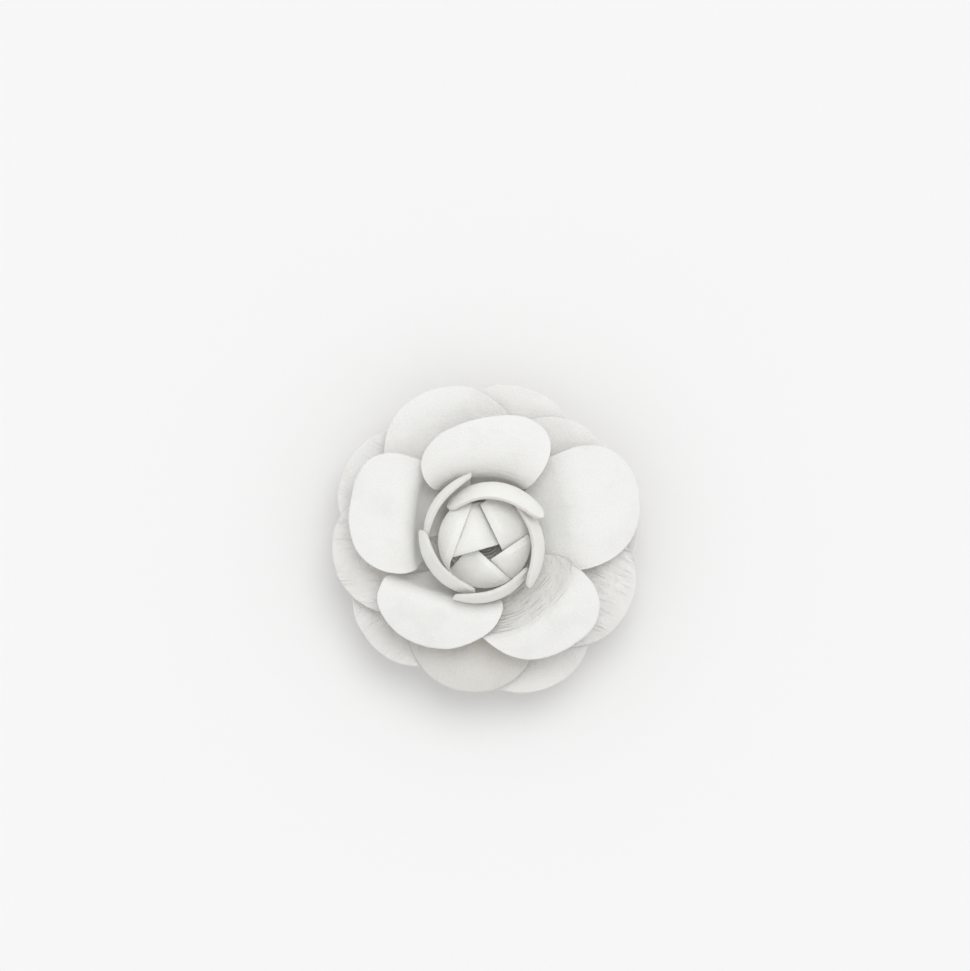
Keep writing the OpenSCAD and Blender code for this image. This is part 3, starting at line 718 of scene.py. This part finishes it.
def bud_tree():
    """Tree that shapes a blank into a folded petal: a fan from its straight edge to the bud's rim."""
    tree = bpy.data.node_groups.new("bud petal", "GeometryNodeTree")
    size = sizes_of(tree, {
        "Bearing": 0, "Cut": 3 * mm, "Right": -3 * mm, "Left": 12 * mm, "Rim": 0, "Fan": 0.7,
        "Reach": bud_radius, "Tilt bearing": 0, "Raise": 0, "Radius": bud_radius,
        "Opening X": bud_opening[0], "Opening Y": bud_opening[1], "Top": bud_top, "Dome": bud_dome,
        "Rise": bud_rise, "Ease": bud_ease, "Thickness": leather_thick, "Fold": 2 * mm,
        "Ridge": 1.1 * mm})
    sheet, u, v, level, rim = blank(tree, rows=56, cols=64)
    v = v * (1 - rim * bud_rim_round)
    u = 0.5 + (u - 0.5) * (1 - rim * bud_rim_round)
    c, s = size["Bearing"].cos(), size["Bearing"].sin()
    round_angle = size["Rim"] + size["Fan"] * v
    out_x = size["Reach"] * round_angle.cos() - size["Opening X"]
    out_y = size["Reach"] * round_angle.sin() - size["Opening Y"]
    near = size["Right"] + (size["Left"] - size["Right"]) * (v + 1) / 2
    p = size["Cut"] + (out_x * c + out_y * s - size["Cut"]) * u
    q = near + (out_y * c - out_x * s - near) * u
    from_x = p * c - q * s
    from_y = p * s + q * c
    side = from_y * size["Tilt bearing"].cos() - from_x * size["Tilt bearing"].sin()
    tilt = side / (side * side + size["Ease"] * size["Ease"]) ** 0.5
    x = size["Opening X"] + from_x
    y = size["Opening Y"] + from_y
    dome = (x * x + y * y) / (size["Radius"] * size["Radius"])
    inward = p - size["Cut"]
    ramp = (inward / size["Fold"]).at_least(0).at_most(1)
    hump = ramp * (1 - ((inward - size["Fold"]) / hump_length).eased())
    hump = hump * ((q - size["Right"] - hump_from) / hump_range).eased()
    dents = noise(tree, vector(tree, x, y, bud_dents_level), bud_dents_per_metre, detail=2) - 0.5
    z = size["Top"] - size["Dome"] * dome + size["Rise"] * tilt + size["Raise"] + hump * size["Ridge"]
    z = z + level * size["Thickness"] + dents * bud_dents
    masks = (0, hump * hump_pleats, 0)
    leave_tree(tree, sheet, vector(tree, x, y, z), vector(tree, q, p, 0), bud_up, masks)
    return tree


folded_tree = bud_tree()
bud_bearing = [105.6, 26, -56, -132, 159.6]
bud_cut = [0.133, 0.26, 0.105, 0.12, 0.727]
bud_right = [-0.253, -0.067, -0.067, -0.433, -0.853]
bud_left = [0.833, 1.033, 0.9, 0.7, 0.533]
bud_rim = [110, 38, -38, -100, 169]
bud_fan = [46, 42, 42, 40, 57]
bud_reach = [0.84, 0.97, 1, 1, 0.98]
bud_tilt_bearing = [105.6, 26, -56, -132, 105.6]
bud_raise = [0, 0, 0, 0, leather_thick + bud_clear]
bud_fold = [1, 1.8, 2.2, 1.8, 2.2]
bud_ridge = [0.3, 1.1, 1.1, 1.1, 1.1]
for k in range(5):
    petal(f"bud_petal_{k + 1}", folded_tree, {
        "Bearing": math.radians(bud_bearing[k]), "Cut": bud_cut[k] * bud_radius,
        "Right": bud_right[k] * bud_radius, "Left": bud_left[k] * bud_radius,
        "Rim": math.radians(bud_rim[k]), "Fan": math.radians(bud_fan[k]),
        "Reach": bud_reach[k] * bud_radius, "Tilt bearing": math.radians(bud_tilt_bearing[k]),
        "Raise": bud_raise[k], "Fold": bud_fold[k] * mm, "Ridge": bud_ridge[k] * mm})


# Felt backing: a disc cut from white wool felt and glued under the base, so that the clip doesn't rub
# the leather. Short fibres stand off its faces and its cut rim.
felt_edge = 0.3 * mm
flecks_per_metre, fleck_dirt = 3000, 0.3
mats_per_metre, mat_depth = 1500, 0.25 * mm
felt, tree, shader, place = finish_coat("wool felt", roughness=0.95, specular=0.15, sheen=0.4)
flecks = noise(tree, place, flecks_per_metre, detail=4, roughness=0.7) * fleck_dirt
tone = placed(tree, tone_effect, {"Place": place, "Clean": paint("#efede8"), "Dull": paint("#dad6cd"),
                                  "Patches per metre": 160, "Extra": flecks})
feed(tree, tone.outputs["Colour"], shader.inputs["Base Color"])
matted = noise(tree, place, mats_per_metre, detail=5, roughness=0.7)
feed(tree, bump(tree, matted, mat_depth), shader.inputs["Normal"])
fibre_lean, fibre_spin = 0.2, 6.28
fibre_reach = (0.4, 1.1)


def fuzz_tree():
    """Tree that lays short bowed fibres over a piece of felt."""
    tree = bpy.data.node_groups.new("felt fuzz", "GeometryNodeTree")
    tree.interface.new_socket("Felt", in_out="INPUT", socket_type="NodeSocketGeometry")
    size = sizes_of(tree, {"Fibres per square metre": 2.4e6, "Length": 1.6 * mm, "Bow": 0.3 * mm,
                           "Thickness": 0.03 * mm, "Seed": 4})
    entry = tree.nodes.new("NodeGroupInput")
    roots = add(tree, "GeometryNodeDistributePointsOnFaces", {
        "Mesh": entry.outputs["Felt"], "Density": size["Fibres per square metre"], "Seed": size["Seed"]})
    bow = add(tree, "GeometryNodeCurveQuadraticBezier", {
        "Resolution": 4, "Start": vector(tree, size["Length"] * -0.5, 0, 0),
        "Middle": vector(tree, 0, size["Bow"], size["Bow"]),
        "End": vector(tree, size["Length"] * 0.5, 0, 0)})
    ring = add(tree, "GeometryNodeCurvePrimitiveCircle",
               {"Resolution": 3, "Radius": size["Thickness"] / 2})
    fibre = add(tree, "GeometryNodeCurveToMesh",
                {"Curve": bow.outputs[0], "Profile Curve": ring.outputs[0]})
    spin = add(tree, "FunctionNodeRandomValue", {
        "Min": (-fibre_lean, -fibre_lean, 0), "Max": (fibre_lean, fibre_lean, fibre_spin), "Seed": 8},
        data_type="FLOAT_VECTOR")
    turn = add(tree, "FunctionNodeEulerToRotation", {0: spin.outputs[0]})
    lay = add(tree, "FunctionNodeRotateRotation", {0: roots.outputs["Rotation"], 1: turn.outputs[0]},
              rotation_space="LOCAL")
    reach = add(tree, "FunctionNodeRandomValue", {2: fibre_reach[0], 3: fibre_reach[1], "Seed": 9},
                data_type="FLOAT")
    coat = add(tree, "GeometryNodeInstanceOnPoints", {
        "Points": roots.outputs["Points"], "Instance": fibre.outputs[0], "Rotation": lay.outputs[0],
        "Scale": reach.outputs[1]})
    close_tree(tree, coat.outputs[0], (True, felt))
    return tree


fuzzy = fuzz_tree()


def felted(piece, node):
    """Puts a piece of felt in the place of a CAD node and gives it its fibres."""
    fibres = grown(f"{node}_fibres", fuzzy, {}, piece.data.copy())
    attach(piece, "flower")
    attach(fibres, "flower")
    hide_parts(node)
    return fibres


low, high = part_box("felt_backing")
felt_backing = turned("felt_backing_disc", rounded_disc(high.x, low.z, high.z, felt_edge), felt)
fibres = felted(felt_backing, "felt_backing")


# Felt strap: a strip cut from a thinner felt, that passes under the clip's upper arm. Its two ends
# are glued to the felt disc beside the arm, which it holds there.
strap_low, strap_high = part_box("felt_strap")
strap_thick = 0.8 * mm
strap_rim_round = 0.2 * mm
arm_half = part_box("upper_arm")[1].y


def strap_tree():
    """Tree that lays a blank across under the arm: u runs along the strip, v across it."""
    tree = bpy.data.node_groups.new("felt strap", "GeometryNodeTree")
    size = sizes_of(tree, {
        "Front": strap_low.x, "Back": strap_high.x, "Half length": strap_high.y, "Low": strap_low.z,
        "High": strap_high.z - strap_thick, "Thickness": strap_thick, "Arm": arm_half, "Step": 0.95 * mm})
    sheet, u, v, level, rim = blank(tree, rows=90, cols=40)
    y = (u * 2 - 1) * (size["Half length"] - rim * strap_rim_round)
    climb = ((y.size() - size["Arm"]) / size["Step"]).eased()
    middle = (size["Front"] + size["Back"]) / 2
    x = middle + v * ((size["Back"] - size["Front"]) / 2 - rim * strap_rim_round)
    z = size["Low"] + size["Thickness"] * (level + 0.5) + (size["High"] - size["Low"]) * climb
    leave_tree(tree, sheet, vector(tree, x, y, z), vector(tree, y, x, 0), (felt, felt, felt))
    return tree


felt_strap = grown("felt_strap_strip", strap_tree(), {})
fibres = felted(felt_strap, "felt_strap")


# Clip: two arms stamped from sheet steel and nickel plated, with a riveted pin through their ears.
# The upper arm lies under the felt, and the lower one swings on the pin.
rubbed_effect, entry, leave = effect(
    "rubbed metal",
    {"Place": (VECTOR, (0, 0, 0)), "Lines per metre": (FLOAT, 6000), "Stretch": (FLOAT, 0.03)},
    {"Scratch": FLOAT, "Smudge": FLOAT},
)
line_from, line_range = 0.45, 0.25
smears_per_metre = 260
smear_from, smear_range = 0.4, 0.3
drawn = add(rubbed_effect, "ShaderNodeVectorMath", {
    0: entry.outputs["Place"], 1: vector(rubbed_effect, entry.outputs["Stretch"], 1.0, 1.0),
}, operation="MULTIPLY")
lines = noise(rubbed_effect, drawn.outputs[0], entry.outputs["Lines per metre"], detail=2, roughness=0.6)
feed(rubbed_effect, ((lines - line_from) / line_range).eased(), leave.inputs["Scratch"])
smears = noise(rubbed_effect, entry.outputs["Place"], smears_per_metre, detail=4, roughness=0.6)
feed(rubbed_effect, ((smears - smear_from) / smear_range).eased(), leave.inputs["Smudge"])
scratch_matt, scratch_depth = 0.1, 0.01 * mm
smudge_matt = 0.12


def metal(name, shade, roughness):
    """Plated steel with the fine lines of the rolled sheet and faint smudges."""
    made, tree, shader, place = finish_coat(name, roughness, specular=0.5, metallic=1.0)
    shader.inputs["Base Color"].default_value = paint(shade)
    rubbed = placed(tree, rubbed_effect, {"Place": place})
    scratch = Value(tree, rubbed.outputs["Scratch"])
    smudge = Value(tree, rubbed.outputs["Smudge"])
    matt = scratch * scratch_matt + smudge * smudge_matt
    feed(tree, roughness + matt, shader.inputs["Roughness"])
    feed(tree, bump(tree, scratch, scratch_depth), shader.inputs["Normal"])
    return made


plated = metal("nickel plated steel", "#c9c8c4", roughness=0.28)
for node in ("upper_arm", "lower_arm", "hinge_pin"):
    steel_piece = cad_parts[node]
    steel_piece.data.materials.clear()
    steel_piece.data.materials.append(plated)


# Torsion spring: hard steel wire wound round the pin, one leg under each thumb tab.
# It pushes the tabs apart, which closes the jaws.
hard_wire = metal("spring wire", "#a9aaab", roughness=0.35)
wire_d = 0.7 * mm
coil_r = 1.7 * mm
coil_turns = 2.5
coil_gap = 0.45 * mm
coil_half = coil_turns * (wire_d + coil_gap) / 2
leg_points, coil_points = 10, 120
pin_low, pin_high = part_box("hinge_pin")
pin_middle = (pin_low + pin_high) / 2
spring_low, spring_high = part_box("torsion_spring")


def spring_tree():
    """Tree of one round wire: lower leg, turns round the pin, upper leg."""
    tree = bpy.data.node_groups.new("torsion spring", "GeometryNodeTree")
    size = sizes_of(tree, {
        "Coil radius": coil_r, "Half length": coil_half, "Turns": coil_turns, "Leg": 9 * mm,
        "Wire": wire_d, "Low leg": spring_low.z + wire_d / 2 - pin_middle.z,
        "High leg": spring_high.z - wire_d / 2 - pin_middle.z, "Pin X": pin_middle.x,
        "Pin Z": pin_middle.z})
    line = add(tree, "GeometryNodeMeshLine", {"Count": 2 * leg_points + coil_points + 1})
    k = Value(tree, tree.nodes.new("GeometryNodeInputIndex").outputs[0])
    lower = (1 - k / leg_points).at_least(0)
    wound = ((k - leg_points) / coil_points).at_least(0).at_most(1)
    upper = ((k - leg_points - coil_points) / leg_points).at_least(0)
    angle = wound * size["Turns"] * (-2 * math.pi) - math.pi / 2
    x = size["Pin X"] + size["Coil radius"] * angle.cos() + size["Leg"] * (lower + upper)
    y = size["Half length"] * (wound * 2 - 1)
    z = size["Pin Z"] + size["Coil radius"] * angle.sin()
    z = z + (size["Low leg"] + size["Coil radius"]) * lower
    z = z + (size["High leg"] - size["Coil radius"]) * upper
    path = add(tree, "GeometryNodeSetPosition",
               {"Geometry": line.outputs[0], "Position": vector(tree, x, y, z)})
    curve = add(tree, "GeometryNodeMeshToCurve", {0: path.outputs[0]})
    ring = add(tree, "GeometryNodeCurvePrimitiveCircle", {"Resolution": 14, "Radius": size["Wire"] / 2})
    tube = add(tree, "GeometryNodeCurveToMesh", {
        "Curve": curve.outputs[0], "Profile Curve": ring.outputs[0], "Fill Caps": True})
    close_tree(tree, tube.outputs[0], (True, hard_wire))
    return tree


spring = grown("torsion_spring_wire", spring_tree(), {})
spring.data.polygons.foreach_set("use_smooth", [len(face.vertices) == 4 for face in spring.data.polygons])
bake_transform(spring)
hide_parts("torsion_spring")


# Table and light: a pale painted table just below the clip's lowest point, one broad soft lamp from
# the top and a little from the right, and an even room.
scene = bpy.context.scene
scene.view_settings.view_transform = "Standard"

table_half = 2.0
table_z = -0.2 * mm
corners = ((-1, -1), (1, -1), (1, 1), (-1, 1))
table_mesh = bpy.data.meshes.new("table")
table_mesh.from_pydata([(x * table_half, y * table_half, table_z) for x, y in corners], [], [(0, 1, 2, 3)])
table = bpy.data.objects.new("table", table_mesh)
scene.collection.objects.link(table)
table_paint, _, shader, _ = finish_coat("table paint", roughness=0.9, specular=0.1)
shader.inputs["Base Color"].default_value = paint("#f6f6f6")
table_mesh.materials.append(table_paint)

room_light = 0.78
room = bpy.data.worlds.new("room")
scene.world = room
room.use_nodes = True
backdrop = room.node_tree.nodes["Background"]
backdrop.inputs["Color"].default_value = (1, 1, 1, 1)
backdrop.inputs["Strength"].default_value = room_light

lamp_light = 0.82
lamp_softness = math.radians(40)
lamp_direction = Vector((-0.15, -0.5, -1))
lamp = bpy.data.objects.new("lamp", bpy.data.lights.new("lamp", "SUN"))
lamp.data.energy = lamp_light
lamp.data.angle = lamp_softness
lamp.rotation_euler = lamp_direction.to_track_quat("-Z", "Y").to_euler()
scene.collection.objects.link(lamp)

# Camera: straight above with a long lens, as far off the flower's axis as the picture's middle is.
# A pixel is 0.32 mm at the flower's middle height.
pixel = 0.32 * mm
frame_width = 970
axis_pixel = (484, 541)
middle_pixel = (485, 485.5)
sensor_width = 36
view_height = 2.5
flower_height = 25 * mm
camera = bpy.data.objects.new("camera", bpy.data.cameras.new("camera"))
camera.location = (
    (middle_pixel[0] - axis_pixel[0]) * pixel, (axis_pixel[1] - middle_pixel[1]) * pixel, view_height)
camera.data.sensor_width = sensor_width
camera.data.lens = sensor_width * (view_height - flower_height) / (frame_width * pixel)
camera.data.clip_end = 4 * view_height
scene.collection.objects.link(camera)
scene.camera = camera
